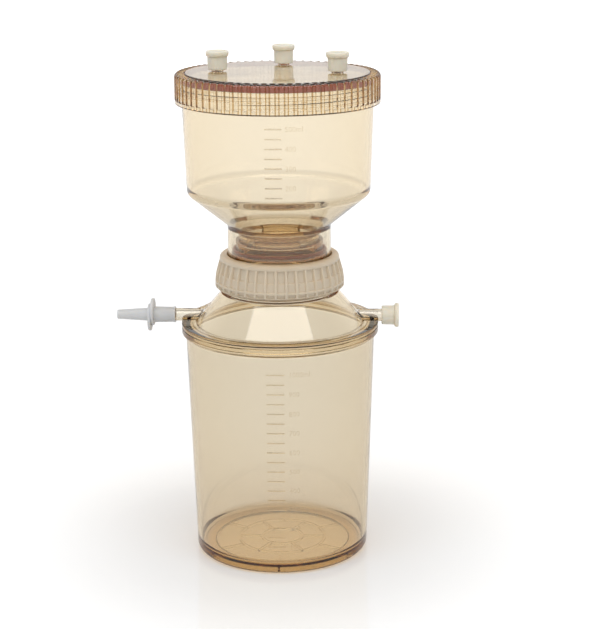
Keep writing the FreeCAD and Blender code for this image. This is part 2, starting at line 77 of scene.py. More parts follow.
BODY_HEIGHT = body_high.z
RIM_R = (body_high.y - body_low.y) / 2
PORT_REACH = shoulder_high.x
NECK_TOP = shoulder_high.z
SKIRT_FOOT = chamber_low.z
CHAMBER_TOP_R = (chamber_high.x - chamber_low.x) / 2
COLLAR_FOOT_LIFT = 2.2  # the smooth foot ends this much higher than the solid's
COLLAR_FOOT = collar_low.z + COLLAR_FOOT_LIFT
COLLAR_TOP = collar_high.z
COLLAR_R = (collar_high.x - collar_low.x) / 2
LID_FOOT = lid_low.z
LID_R = (lid_high.x - lid_low.x) / 2
LID_UNDERSIDE = lid_gasket_high.z

# ---------------------------------------------------------------- laps, mm
FUSE_LAP = 0.4  # how far a moulded-on feature runs into its wall
THREAD_LAP = 0.3  # how far a thread's root runs into its wall
CUT_PAST = 1.0  # how far a cut runs out of the face it opens

# ---------------------------------------------------------------- receiver, mm
BODY_TOP_R = RIM_R - 2.3
BODY_BASE_R = BODY_TOP_R - 4.5
WALL = 2.5
FLOOR_TOP = 5.0
FOOT_RECESS_R = BODY_BASE_R - 11.2
FOOT_RECESS_DEPTH = 2.0
BASE_RIB_T = 1.2
BASE_RIB_FOOT = 0.8
BASE_INNER_RING_R = 12.5
BASE_OUTER_RING_R = 26.7
BASE_SPOKES = 6
RIM_T = 3.6
RIM_FLARE = 1.8
SEAM_GROOVE = 0.35  # round the weld of the rim and the flange
FLANGE_TOP = BODY_HEIGHT + 2.6
SHOULDER_FOOT_R = RIM_R - 8.7
SHOULDER_TOP_R = 35.5
NECK_ROOT = NECK_TOP - 16.0
NECK_BEAD_R = 34.0
NECK_BEAD_T = 1.2
NECK_R = 32.4
NECK_BORE_R = 28.6
SPIGOT_FOOT = BODY_HEIGHT - 3.5
SPIGOT_BORE_R = 52.9
PORT_LEVEL = FLANGE_TOP + 2.8
PORT_R = 3.8
PORT_BORE_R = 2.2
GUSSET_T = 1.6
GUSSET_LENGTH = 8.4
GUSSET_HEIGHT = 4.2
COLLAR_PITCH = 5.0
COLLAR_THREAD_T = (2.4, 1.0)  # at the ridge's root and crest
COLLAR_THREAD_TURNS = 2.0
NECK_THREAD_R = NECK_R + 1.5
NECK_THREAD_LOW = NECK_ROOT + 4.5

# ---------------------------------------------------------------- locking collar, mm
COLLAR_BORE_R = NECK_R + 2.4
COLLAR_SEAT_R = 33.5
COLLAR_LIP_R = 31.5
COLLAR_LIP_T = 2.4
COLLAR_THREAD_R = NECK_R + 0.7
COLLAR_FOOT_DRAFT = 1.5
COLLAR_FOOT_RISE = 1.4
COLLAR_BELLY_RISE = 4.6
COLLAR_LEDGE_RISE = 10.0
COLLAR_LEDGE_DRAFT = 0.7
COLLAR_TOP_DRAFT = 2.8
COLLAR_TOP_BAND = 3.2
COLLAR_RIBS = 38
COLLAR_RIB_T = 1.2
COLLAR_RIB_SLOPE = 0.6
COLLAR_FIRST_RIB = 4.0  # degrees
COLLAR_CELL_DEPTH = 1.2
COLLAR_TIER_STEP = 0.8

# ---------------------------------------------------------------- gaskets, mm
GASKET_SLIVER = 0.04  # keeps a gasket's skin off the clear faces that grip it
NECK_GASKET_BORE_R = NECK_BORE_R + 0.3
NECK_GASKET_R = NECK_R - 0.8
GASKET_GRIP = 2.6  # from the lid's underside down to the chamber's rim
GASKET_GROOVE = 1.0  # up into the lid's underside
GASKET_HALF_WIDTH = 2.0  # the lid's

# ---------------------------------------------------------------- upper chamber, mm
CHAMBER_RIM = LID_UNDERSIDE - GASKET_GRIP
SKIRT_R = 31.0
SKIRT_BORE_R = 29.0
SKIRT_FLANGE_R = 32.9
SKIRT_FLANGE_T = 3.2
CONE_FOOT = SKIRT_FOOT + 24.0
CONE_TOP = CONE_FOOT + 19.4
CHAMBER_BASE_R = CHAMBER_TOP_R - 2.3
ORIFICE_R = 20.0
LIP_R = 24.5
LIP_UNDERSIDE = CONE_FOOT - 8.5
BEAD_R = 21.9
BEAD_T = 2.4
BEAD_DROP = 1.0
LUG_HALF_ANGLE = 50.0
LUG_R = 26.6
LUG_LOW = 190.7
LUG_HIGH = 194.2

# ---------------------------------------------------------------- lid, mm
LID_TOP = LID_UNDERSIDE + 2.4
LID_BORE_R = CHAMBER_TOP_R + 1.3
LID_RIB_HEIGHT = 0.6
LID_CELL_R = LID_R - LID_RIB_HEIGHT
LID_FLAT_R = LID_R - 6.5
LID_PLAIN_FOOT = 2.2
LID_LIP_R = CHAMBER_TOP_R - WALL - 0.9
LID_LIP_T = 1.2
LID_RIBS = 72
LID_RIB_T = 1.5
LID_RIB_SLOPE = 0.6
LID_FIRST_RIB = 2.5  # degrees
LID_PITCH = 4.0
LID_THREAD_T = (1.5, 0.6)  # at the ridge's root and crest
LID_THREAD_GAP = 0.35  # from each thread's crest to the facing wall
LID_THREAD_START = radians(-120)
LID_THREAD_TURNS = 1.75
RIM_THREAD_LOW = CHAMBER_RIM - 7.4
RIM_THREAD_LAP = 0.5  # deeper, for the wall's draft
RIM_THREAD_TURNS = 1.5
LID_PORT_R = 3.5
LID_PORT_BORE_R = 2.0
LID_PORT_HEIGHT = 10.2
LID_PORT_ROOT = LID_UNDERSIDE + 0.6  # inside the cover's thickness
LID_FOOT_CHAMFER = 0.6

# ---------------------------------------------------------------- raised volume scales, mm
SCALE_FRONT = radians(-87.0)
SCALE_GAP = 0.02
SCALE_PROUD = 0.22
SCALE_LINE_ROOT = 0.38  # half a line's height at the wall
SCALE_LINE_CREST = 0.12
LABEL_HEIGHT = 3.0
FONT_DIGIT_SHARE = 0.7  # a digit's height as a share of the type size
RECEIVER_LEVELS = [126.4 - 6.04 * i for i in range(19)]  # 50 ml apart
RECEIVER_LABELS = ["1000ml", "900", "800", "700", "600", "500", "400", "300", "200", "100"]
RECEIVER_LINE = (-8.6, 1.9)  # ends, from the scale's middle
RECEIVER_LABEL_LEFT = 4.4
CHAMBER_LEVELS = [269.8 - 5.65 * i for i in range(8)]  # 50 ml apart
CHAMBER_LABELS = ["500ml", "400", "300", "200"]
CHAMBER_LINE = (-8.0, 1.8)
CHAMBER_LABEL_LEFT = 3.5

# ---------------------------------------------------------------- caps, mm
PUSH_FIT = 0.05
LID_CAP_WALL, LID_CAP_PROJECTION, LID_CAP_RIM_T = 2.3, 1.0, 3.0
SIDE_CAP_WALL, SIDE_CAP_PROJECTION, SIDE_CAP_RIM_T = 2.05, 1.5, 2.4

# ---------------------------------------------------------------- camera
VIEW_AZIMUTH = radians(3.0)
VIEW_DISTANCE = 1003.2  # mm
VIEW_HEIGHT = 418.1  # mm
VIEW_PITCH = radians(15.1)
VIEW_YAW = radians(2.35)  # the lens points past the object, to its right
LENS_MM = 97.6
FRAME_SHIFT = -0.0823

# ---------------------------------------------------------------- studio, m
# each ramp is (start, end, value at start, value at end)
FLOOR_HALF = 6.0
FLOOR_DROP = 0.0003  # just under the foot
# the floor's glow is low near the object and high far off: a painted shadow round the object and painted
# light further out
FLOOR_GLOW = (0.3, 1.3, 0.08, 0.38)  # by distance, seen directly, in gloss and through the plastic
FLOOR_LIFT = (0.06, 0.20, 0.03, 0.24)  # by distance, more of it to the camera
SKY = (0.35, 0.7, 0.92, 0.4)  # by height of the direction
LIGHT_BOUNCES = 40  # light needs long paths through nested clear walls
GLOSSY_BOUNCES = 20


# ---------------------------------------------------------------- node helpers
def new_material(name):
    mat = bpy.data.materials.new(name)
    mat.use_nodes = True
    nodes = mat.node_tree.nodes
    nodes.clear()
    return mat, nodes, mat.node_tree.links


def noise(nodes, links, scale, detail=3.0):
    place = nodes.new("ShaderNodeTexCoord")
    tex = nodes.new("ShaderNodeTexNoise")
    tex.inputs["Scale"].default_value = scale
    tex.inputs["Detail"].default_value = detail
    links.new(place.outputs["Object"], tex.inputs["Vector"])
    return tex.outputs["Fac"]


def spread(nodes, links, source, low, high):
    """A value that follows source from low to high."""
    spread_node = nodes.new("ShaderNodeMapRange")
    spread_node.inputs["To Min"].default_value = low
    spread_node.inputs["To Max"].default_value = high
    links.new(source, spread_node.inputs["Value"])
    return spread_node.outputs["Result"]


def maths(nodes, links, operation, *values):
    """A Math node's result; a value is a number or another node's output."""
    node = nodes.new("ShaderNodeMath")
    node.operation = operation
    for socket, value in zip(node.inputs, values):
        if isinstance(value, (int, float)):
            socket.default_value = value
        else:
            links.new(value, socket)
    return node.outputs[0]


def blend(nodes, links, factor, first, second):
    """Colour that goes from first to second with the factor."""
    node = nodes.new("ShaderNodeMix")
    node.data_type = "RGBA"
    links.new(factor, node.inputs[0])
    node.inputs[6].default_value = (*first, 1.0)
    node.inputs[7].default_value = (*second, 1.0)
    return node.outputs[2]


def bump(nodes, links, height, strength, distance):
    node = nodes.new("ShaderNodeBump")
    node.inputs["Strength"].default_value = strength
    node.inputs["Distance"].default_value = distance
    links.new(height, node.inputs["Height"])
    return node.outputs["Normal"]


# ---------------------------------------------------------------- materials
def clear_plastic(name, absorb, density, tint=(0.985, 0.962, 0.915), skin=(1.0, 1.0, 1.0), painted_shade=None):
    """Moulded clear plastic: colour comes from depth, the skin has faint flow waviness.

    The last argument, where given, is a function that adds nodes, with the value 1 where the skin is tinted
    brown as painted shade.
    """
    mat, nodes, links = new_material(name)
    shader = nodes.new("ShaderNodeBsdfPrincipled")
    shader.inputs["Base Color"].default_value = (*skin, 1.0)
    if painted_shade:
        links.new(blend(nodes, links, painted_shade(nodes, links), skin, FLANK_SHADE_BROWN), shader.inputs["Base Color"])
    shader.inputs["IOR"].default_value = 1.56
    shader.inputs["Transmission Weight"].default_value = 1.0
    haze = noise(nodes, links, 90.0)
    links.new(spread(nodes, links, haze, 0.0, 0.06), shader.inputs["Roughness"])
    flow = noise(nodes, links, 28.0, 2.0)
    links.new(bump(nodes, links, flow, 0.05, 0.002), shader.inputs["Normal"])
    # lamps shine through it, tinted
    clear = nodes.new("ShaderNodeBsdfTransparent")
    clear.inputs["Color"].default_value = (*tint, 1.0)
    path = nodes.new("ShaderNodeLightPath")
    mix = nodes.new("ShaderNodeMixShader")
    links.new(path.outputs["Is Shadow Ray"], mix.inputs["Fac"])
    links.new(shader.outputs["BSDF"], mix.inputs[1])
    links.new(clear.outputs["BSDF"], mix.inputs[2])
    depth = nodes.new("ShaderNodeVolumeAbsorption")
    depth.inputs["Color"].default_value = (*absorb, 1.0)
    depth.inputs["Density"].default_value = density
    out = nodes.new("ShaderNodeOutputMaterial")
    links.new(mix.outputs["Shader"], out.inputs["Surface"])
    links.new(depth.outputs["Volume"], out.inputs["Volume"])
    return mat


def cloudy_plastic(name, colour, shade, roughness, through):
    """Translucent moulded plastic with soft mottling and a matt skin."""
    mat, nodes, links = new_material(name)
    shader = nodes.new("ShaderNodeBsdfPrincipled")
    mottle = noise(nodes, links, 60.0, 4.0)
    links.new(blend(nodes, links, mottle, colour, shade), shader.inputs["Base Color"])
    links.new(spread(nodes, links, mottle, roughness - 0.06, roughness + 0.08), shader.inputs["Roughness"])
    shader.inputs["IOR"].default_value = 1.49
    shader.inputs["Subsurface Weight"].default_value = through
    shader.inputs["Subsurface Radius"].default_value = (1.0, 0.85, 0.7)
    shader.inputs["Subsurface Scale"].default_value = 0.003
    grain = noise(nodes, links, 1400.0, 2.0)
    links.new(bump(nodes, links, grain, 0.12, 0.0002), shader.inputs["Normal"])
    out = nodes.new("ShaderNodeOutputMaterial")
    links.new(shader.outputs["BSDF"], out.inputs["Surface"])
    return mat


def silicone(name, clean, dusty):
    """Red silicone rubber, matt, slightly dusty."""
    mat, nodes, links = new_material(name)
    shader = nodes.new("ShaderNodeBsdfPrincipled")
    dust = noise(nodes, links, 220.0, 4.0)
    links.new(blend(nodes, links, dust, clean, dusty), shader.inputs["Base Color"])
    links.new(spread(nodes, links, dust, 0.38, 0.6), shader.inputs["Roughness"])
    shader.inputs["Specular IOR Level"].default_value = 0.2
    links.new(bump(nodes, links, dust, 0.15, 0.0002), shader.inputs["Normal"])
    out = nodes.new("ShaderNodeOutputMaterial")
    links.new(shader.outputs["BSDF"], out.inputs["Surface"])
    return mat


def lid_rib_flank_shade(nodes, links):
    """1 on the two flanks of each rib round the lid, where the brown painted shade goes."""
    def calc(operation, *values):
        return maths(nodes, links, operation, *values)

    place = nodes.new("ShaderNodeTexCoord")
    split = nodes.new("ShaderNodeSeparateXYZ")
    links.new(place.outputs["Object"], split.inputs[0])
    x, y = split.outputs["X"], split.outputs["Y"]
    angle = calc("ARCTAN2", y, x)
    ribs_past = calc("MULTIPLY_ADD", angle, LID_RIBS / tau, 0.5 - LID_FIRST_RIB * LID_RIBS / 360)
    off_middle = calc("ABSOLUTE", calc("SUBTRACT", calc("FRACT", ribs_past), 0.5))
    pitch = tau * LID_R / LID_RIBS
    flank_middle = (LID_RIB_T + LID_RIB_SLOPE) / 2 / pitch
    flank_half = (LID_RIB_SLOPE / 2 + FLANK_MARGIN) / pitch
    flank = calc("COMPARE", off_middle, flank_middle, flank_half)
    from_axis = calc("SQRT", calc("ADD", calc("POWER", x, 2.0), calc("POWER", y, 2.0)))
    outside = calc("GREATER_THAN", from_axis, (LID_CELL_R - CELL_MARGIN) * MM)
    return calc("MULTIPLY", flank, outside)


# brown painted shade on the lid's rib flanks, standing in for the dark lines that steep faces show
FLANK_SHADE_BROWN = (0.50, 0.32, 0.13)
FLANK_MARGIN = 0.1  # mm, the brown runs this far past a flank
CELL_MARGIN = 0.2  # mm, and this far under a cell's floor
AMBER_DEPTH = ((0.779, 0.593, 0.20), 140.0)  # absorbed colour and density
AMBER = clear_plastic("amber_clear", *AMBER_DEPTH)
AMBER_DENSE = clear_plastic("amber_dense", (0.74, 0.50, 0.10), 210.0)
# the raised volume marks get a darker skin: painted shade that shows the clear ridges against the wall
AMBER_SHADED_MARKS = clear_plastic("amber_marks_shaded", *AMBER_DEPTH, skin=(0.89, 0.85, 0.78))
# the lid's amber, with brown painted shade on its rib flanks
AMBER_FLANK_SHADED = clear_plastic("amber_flank_shaded", *AMBER_DEPTH, painted_shade=lid_rib_flank_shade)
COLLAR = cloudy_plastic("collar_beige", (0.74, 0.64, 0.50), (0.66, 0.57, 0.44), 0.36, 0.3)
CAPS = cloudy_plastic("cap_offwhite", (0.93, 0.87, 0.74), (0.87, 0.80, 0.67), 0.42, 0.7)
COUPLING = cloudy_plastic("coupling_white", (0.74, 0.75, 0.76), (0.66, 0.67, 0.68), 0.38, 0.6)
RED = silicone("silicone_red", (0.34, 0.062, 0.030), (0.46, 0.11, 0.05))
# darker, browner red: painted shade for the seals that sit inside the neck
RED_SHADED = silicone("silicone_shaded", (0.24, 0.062, 0.012), (0.32, 0.10, 0.022))

SLOT_MATERIALS = {
    "amber_plastic": AMBER,
    "collar_plastic": COLLAR,
    "cap_plastic": CAPS,
    "coupling_plastic": COUPLING,
    "red_silicone": RED,
}
NODE_MATERIALS = {"support_plate": AMBER_DENSE, "plate_seal_ring": RED_SHADED}


def dress_cad_nodes():
    for part in frame["record"]["subparts"]:
        material = NODE_MATERIALS.get(part["node"], SLOT_MATERIALS[part["material_slot"]])
        obj = frame["nodes"][part["node"]]
        obj.data.materials.clear()
        obj.data.materials.append(material)


dress_cad_nodes()


# ---------------------------------------------------------------- mesh helpers
GUARD = 0.06  # mm, from a bend's end to the point that keeps the next straight stretch flat
SHARP_ANGLE = 32.0  # degrees between faces
LID_SHARP_ANGLE = 40.0
ROUND_STEPS = 240
TUBE_STEPS = 64
CAP_STEPS = 72
THREAD_STEPS = 120  # a turn
THREAD_FADE = 10  # steps over which a thread runs out
RIB_KNEE = (0.45, 0.55)  # share of a rib's slope, and its height there
RIB_SHOULDER = 0.94  # height at the crest's edges


def rounded(corners, steps=5):
    """Points of a closed outline. A corner is (r, z), or (r, z, round) for an arc."""
    bends = []
    for i, corner in enumerate(corners):
        here = Vector(corner[:2])
        if len(corner) < 3:
            bends.append([here])
            continue
        back = (Vector(corners[i - 1][:2]) - here).normalized()
        ahead = (Vector(corners[(i + 1) % len(corners)][:2]) - here).normalized()
        half = back.angle(ahead) / 2
        centre = here + (back + ahead).normalized() * corner[2] / sin(half)
        spoke = here + back * corner[2] / tan(half) - centre
        sweep = pi - 2 * half
        if back.x * ahead.y - back.y * ahead.x > 0:
            sweep = -sweep
        bends.append([centre + Matrix.Rotation(sweep * k / steps, 2) @ spoke for k in range(steps + 1)])
    # a point just off each end of a straight stretch keeps its shading flat
    points = []
    for bend, following in zip(bends, bends[1:] + bends[:1]):
        run = following[0] - bend[-1]
        guard = run * min(0.25, GUARD / max(run.length, GUARD))
        points += [*bend, bend[-1] + guard, following[0] - guard]
    return points


def plain_turns(count):
    return [(tau * i / count, 0.0) for i in range(count)]


def ribbed_turns(count, width, slope, radius, first=0.0):
    """Stations round a ribbed turning: (angle, weight), weight 1 on a rib's crest and 0 between ribs."""
    step = tau / count
    half = width / 2 / radius
    side = slope / radius
    gap = step / 2 - half - side
    knee = half + side * RIB_KNEE[0]
    turns = []
    for i in range(count):
        middle = first + i * step
        for offset, weight in (
            (-half - side, 0.0), (-knee, RIB_KNEE[1]), (-half, RIB_SHOULDER), (0.0, 1.0),
            (half, RIB_SHOULDER), (knee, RIB_KNEE[1]), (half + side, 0.0), (half + side + gap, 0.0),
        ):
            turns.append((middle + offset, weight))
    return turns


def on_circle(r, angle, z):
    """A point given in mm about the axis, in metres."""
    return Vector((r * cos(angle) * MM, r * sin(angle) * MM, z * MM))


def smooth(mesh, sharp_angle):
    """Smooth shading, with an edge wherever faces meet at more than the angle."""
    mesh.polygons.foreach_set("use_smooth", [True] * len(mesh.polygons))
    mesh.set_sharp_from_angle(angle=radians(sharp_angle))


def to_object(name, bm, material, sharp_angle=SHARP_ANGLE):
    bmesh.ops.recalc_face_normals(bm, faces=bm.faces)
    mesh = bpy.data.meshes.new(name)
    bm.to_mesh(mesh)
    bm.free()
    smooth(mesh, sharp_angle)
    mesh.materials.append(material)
    obj = bpy.data.objects.new(name, mesh)
    bpy.context.scene.collection.objects.link(obj)
    return obj


def lathe(name, outline, material, crest=None, turns=None, sharp_angle=SHARP_ANGLE):
    """Closed solid turned about Z. Crest is the outline at the ribs, point for point."""
    turns = turns or plain_turns(ROUND_STEPS)
    crest = crest or outline
    bm = bmesh.new()
    columns = []
    for angle, weight in turns:
        column = []
        for i, (floor_point, crest_point) in enumerate(zip(outline, crest)):
            r, z = floor_point.lerp(crest_point, weight)
            if columns and r < 1e-6:
                column.append(columns[0][i])
            else:
                column.append(bm.verts.new(on_circle(r, angle, z)))
        columns.append(column)
    count = len(outline)
    for a, b in zip(columns, columns[1:] + columns[:1]):
        for i in range(count):
            j = (i + 1) % count
            corners = [a[i], b[i], b[j], a[j]]
            distinct = [v for k, v in enumerate(corners) if v not in corners[:k]]
            if len(distinct) > 2:
                bm.faces.new(distinct)
    return to_object(name, bm, material, sharp_angle)


def boolean(obj, tools, operation, sharp_angle=SHARP_ANGLE):
    """Obj joined with, or cut by, closed tools, which are used up."""
    for tool in tools:
        modifier = obj.modifiers.new("boolean", "BOOLEAN")
        modifier.object = tool
        modifier.operation = operation
        modifier.solver = "MANIFOLD"
    depsgraph = bpy.context.evaluated_depsgraph_get()
    mesh = bpy.data.meshes.new_from_object(obj.evaluated_get(depsgraph))
    obj.modifiers.clear()
    obj.data = mesh
    smooth(mesh, sharp_angle)
    for tool in tools:
        bpy.data.objects.remove(tool)


def prism(name, outline, thickness, angle, material):
    """Upright radial plate: an (r, z) outline given thickness about its middle plane, turned to angle."""
    bm = bmesh.new()
    turn = Matrix.Rotation(angle, 3, "Z")
    sides = []
    for y in (-thickness / 2, thickness / 2):
        sides.append([bm.verts.new(turn @ Vector((r, y, z)) * MM) for r, z in outline])
    bm.faces.new(sides[0])
    bm.faces.new(reversed(sides[1]))
    for i in range(len(outline)):
        j = (i + 1) % len(outline)
        bm.faces.new((sides[0][i], sides[1][i], sides[1][j], sides[0][j]))
    return to_object(name, bm, material)


def block(inner_r, outer_r, low, high):
    return [(inner_r, low), (outer_r, low), (outer_r, high), (inner_r, high)]


def ring(name, inner_r, outer_r, low, high, material, edge=0.0):
    corners = block(inner_r, outer_r, low, high)
    if edge:
        corners = [(*corner, edge) for corner in corners]
    return lathe(name, rounded(corners, 3), material)


def swept(name, stations, material):
    """Closed solid through stations, each an angle and the four (r, z) corners of the section there."""
    bm = bmesh.new()
    rows = [[bm.verts.new(on_circle(r, angle, z)) for r, z in section] for angle, section in stations]
    for a, b in zip(rows, rows[1:]):
        for i in range(4):
            j = (i + 1) % 4
            bm.faces.new((a[i], b[i], b[j], a[j]))
    bm.faces.new(rows[0])
    bm.faces.new(reversed(rows[-1]))
    return to_object(name, bm, material)


def arc_ring(name, section, middle, half_angle, material):
    """Part of a ring with a four-cornered (r, z) section; angles in degrees."""
    steps = ceil(half_angle)
    angles = [radians(middle - half_angle + 2 * half_angle * k / steps) for k in range(steps + 1)]
    return swept(name, [(angle, section) for angle in angles], material)


def thread(name, root_r, crest_r, widths, pitch, start_z, start_angle, turns, material):
    """Right-handed helical ridge from root_r to crest_r, running out to nothing at both ends."""
    steps = int(turns * THREAD_STEPS)
    stations = []
    for k in range(steps + 1):
        angle = start_angle + tau * turns * k / steps
        middle = start_z + pitch * turns * k / steps
        size = min(1.0, (k + 0.5) / THREAD_FADE, (steps - k + 0.5) / THREAD_FADE)
        root, crest = [width * size / 2 for width in widths]
        tip_r = root_r + (crest_r - root_r) * size
        stations.append((angle, [
            (root_r, middle - root), (tip_r, middle - crest),
            (tip_r, middle + crest), (root_r, middle + root),
        ]))
    return swept(name, stations, material)


def moved(obj, matrix):
    obj.data.transform(matrix)
    return obj


def along_x(obj, side):
    """Turns a piece made about Z to lie along +X (side 1) or -X (side -1) at the ports' level."""
    lay = Matrix.Rotation(radians(90 * side), 4, "Y")
    return moved(obj, Matrix.Translation((0, 0, PORT_LEVEL * MM)) @ lay)


def meet(point_a, slope_a, point_b, slope_b):
    """Where two lines cross, each given by an (r, z) point and its rise in z per unit of r."""
    r = (point_b[1] - point_a[1] + slope_a * point_a[0] - slope_b * point_b[0]) / (slope_a - slope_b)
    return r, point_a[1] + slope_a * (r - point_a[0])


def raised_text(text, left, level, wall_r):
    """Characters proud of a drafted wall, wrapped round it from left (mm from the scale's middle)."""
    curve = bpy.data.curves.new("text", "FONT")
    curve.body = text
    curve.size = LABEL_HEIGHT / FONT_DIGIT_SHARE
    curve.resolution_u = 2
    curve.extrude = SCALE_PROUD
    flat = bpy.data.objects.new("text", curve)
    bm = bmesh.new()
    bm.from_mesh(flat.to_mesh())
    bpy.data.objects.remove(flat)
    bmesh.ops.remove_doubles(bm, verts=bm.verts, dist=0.001)
    bmesh.ops.triangulate(bm, faces=bm.faces)
    for vert in bm.verts:
        x, y, lift = vert.co
        z = level - LABEL_HEIGHT / 2 + y
        angle = SCALE_FRONT + (left + x) / wall_r(z)
        r = wall_r(z) + (SCALE_PROUD if lift > 0 else SCALE_GAP)
        vert.co = Vector((r * cos(angle), r * sin(angle), z)) * MM
    return to_object("text", bm, AMBER_SHADED_MARKS)


def join(name, pieces, material):
    """One object with the meshes of several, which are used up."""
    bm = bmesh.new()
    for piece in pieces:
        bm.from_mesh(piece.data)
        bpy.data.objects.remove(piece)
    return to_object(name, bm, material)


def raised_scale(name, levels, labels, wall_r, line, label_left):
    """Volume lines with a label at every other one, just off the wall that carries them."""
    pieces = []
    for i, level in enumerate(levels):
        r = wall_r(level)
        foot, top = level - SCALE_LINE_ROOT, level + SCALE_LINE_ROOT
        section = [
            (wall_r(foot) + SCALE_GAP, foot),
            (r + SCALE_PROUD, level - SCALE_LINE_CREST),
            (r + SCALE_PROUD, level + SCALE_LINE_CREST),
            (wall_r(top) + SCALE_GAP, top),
        ]
        middle = degrees(SCALE_FRONT + sum(line) / 2 / r)
        pieces.append(arc_ring("line", section, middle, degrees((line[1] - line[0]) / 2 / r), AMBER_SHADED_MARKS))
        if i % 2 == 0:
            pieces.append(raised_text(labels[i // 2], label_left, level, wall_r))
    return join(name, pieces, AMBER_SHADED_MARKS)


def settle(piece, body, slot, *nodes):
    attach(piece, body)
    if nodes:
        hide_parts(*nodes)


# ---------------------------------------------------------------- receiver
def base_ribs():
    """Two rings and two sets of spokes, staggered, in the recess under the foot."""
    top = FOOT_RECESS_DEPTH + FUSE_LAP
    ribs = [
        ring("base_ring", r - BASE_RIB_T / 2, r + BASE_RIB_T / 2, BASE_RIB_FOOT, top, AMBER)
        for r in (BASE_INNER_RING_R, BASE_OUTER_RING_R)
    ]
    inner = block(BASE_INNER_RING_R, BASE_OUTER_RING_R, BASE_RIB_FOOT, top)
    outer = block(BASE_OUTER_RING_R, FOOT_RECESS_R + FUSE_LAP, BASE_RIB_FOOT, top)
    for i in range(BASE_SPOKES):
        angle = tau * i / BASE_SPOKES
        ribs.append(prism("spoke_inner", inner, BASE_RIB_T, angle, AMBER))
        ribs.append(prism("spoke_outer", outer, BASE_RIB_T, angle + pi / BASE_SPOKES, AMBER))
    return ribs


def side_ports(steepness):
    """Tubes and gussets of both ports on the cone, and the bores to cut through them."""
    root = SHOULDER_FOOT_R - WALL
    tube_line = rounded([(0, root), (PORT_R, root), (PORT_R, PORT_REACH, 0.4), (0, PORT_REACH)], 3)
    past = PORT_REACH + CUT_PAST
    bore_line = rounded([(0, NECK_BORE_R), (PORT_BORE_R, NECK_BORE_R), (PORT_BORE_R, past), (0, past)])
    foot = PORT_LEVEL + PORT_R - FUSE_LAP
    cone_r = SHOULDER_FOOT_R - (foot + GUSSET_HEIGHT - FLANGE_TOP) / steepness
    gusset = [
        (cone_r + GUSSET_LENGTH, foot),
        (cone_r - WALL / 2, foot),
        (cone_r - WALL / 2, foot + GUSSET_HEIGHT),
        (cone_r, foot + GUSSET_HEIGHT),
    ]
    solids, bores = [], []
    for side in (-1, 1):
        tube = lathe("tube", tube_line, AMBER, turns=plain_turns(TUBE_STEPS))
        solids.append(along_x(tube, side))
        solids.append(prism("gusset", gusset, GUSSET_T, 0 if side > 0 else pi, AMBER))
        bore = lathe("bore", bore_line, AMBER, turns=plain_turns(TUBE_STEPS))
        bores.append(along_x(bore, side))
    return solids, bores


def receiver():
    """Drafted vessel welded to its shoulder: ribbed foot, flanged seam, cone, neck, ports and thread."""
    draft = (BODY_TOP_R - BODY_BASE_R) / BODY_HEIGHT
    rim_low = BODY_HEIGHT - RIM_T
    flare_foot = rim_low - RIM_FLARE
    steepness = (NECK_ROOT - FLANGE_TOP) / (SHOULDER_FOOT_R - SHOULDER_TOP_R)
    ceiling = (SHOULDER_FOOT_R, FLANGE_TOP - WALL * hypot(1.0, steepness))
    inner_foot = meet(ceiling, -steepness, (0, BODY_HEIGHT), 0.0)
    inner_top = (NECK_BORE_R, ceiling[1] + steepness * (SHOULDER_FOOT_R - NECK_BORE_R))
    vessel = lathe("receiver_vessel", rounded([
        (0, FOOT_RECESS_DEPTH),
        (FOOT_RECESS_R, FOOT_RECESS_DEPTH, 0.5),
        (FOOT_RECESS_R, 0, 0.4),
        (BODY_BASE_R, 0, 3.4),
        (BODY_BASE_R + draft * flare_foot, flare_foot, 1.2),
        (RIM_R, rim_low, 0.9),
        (RIM_R, BODY_HEIGHT - SEAM_GROOVE),
        (RIM_R - SEAM_GROOVE, BODY_HEIGHT),
        (RIM_R, BODY_HEIGHT + SEAM_GROOVE),
        (RIM_R, FLANGE_TOP, 0.8),
        (SHOULDER_FOOT_R, FLANGE_TOP, 1.0),
        (SHOULDER_TOP_R, NECK_ROOT, 0.5),
        (NECK_BEAD_R, NECK_ROOT),
        (NECK_BEAD_R, NECK_ROOT + NECK_BEAD_T, 0.4),
        (NECK_R, NECK_ROOT + NECK_BEAD_T),
        (NECK_R, NECK_TOP, 0.8),
        (NECK_BORE_R, NECK_TOP, 0.4),
        (*inner_top, 1.0),
        inner_foot,
        (SPIGOT_BORE_R, BODY_HEIGHT),
        (SPIGOT_BORE_R, SPIGOT_FOOT, 0.4),
        (BODY_BASE_R + draft * SPIGOT_FOOT - WALL, SPIGOT_FOOT, 0.3),
        (BODY_BASE_R + draft * FLOOR_TOP - WALL, FLOOR_TOP, 4.0),
        (0, FLOOR_TOP),
    ]), AMBER)
    solids, bores = side_ports(steepness)
    neck_thread = thread("neck_thread", NECK_R - THREAD_LAP, NECK_THREAD_R, COLLAR_THREAD_T, COLLAR_PITCH,
                         NECK_THREAD_LOW, 0.0, COLLAR_THREAD_TURNS, AMBER)
    boolean(vessel, base_ribs() + solids + [neck_thread], "UNION")
    boolean(vessel, bores, "DIFFERENCE")
    settle(vessel, "receiver", "amber_plastic", "receiver_body", "receiver_shoulder")
    marks = raised_scale("receiver_scale", RECEIVER_LEVELS, RECEIVER_LABELS,
                         lambda z: BODY_BASE_R + draft * z, RECEIVER_LINE, RECEIVER_LABEL_LEFT)
    settle(marks, "receiver", "amber_plastic")


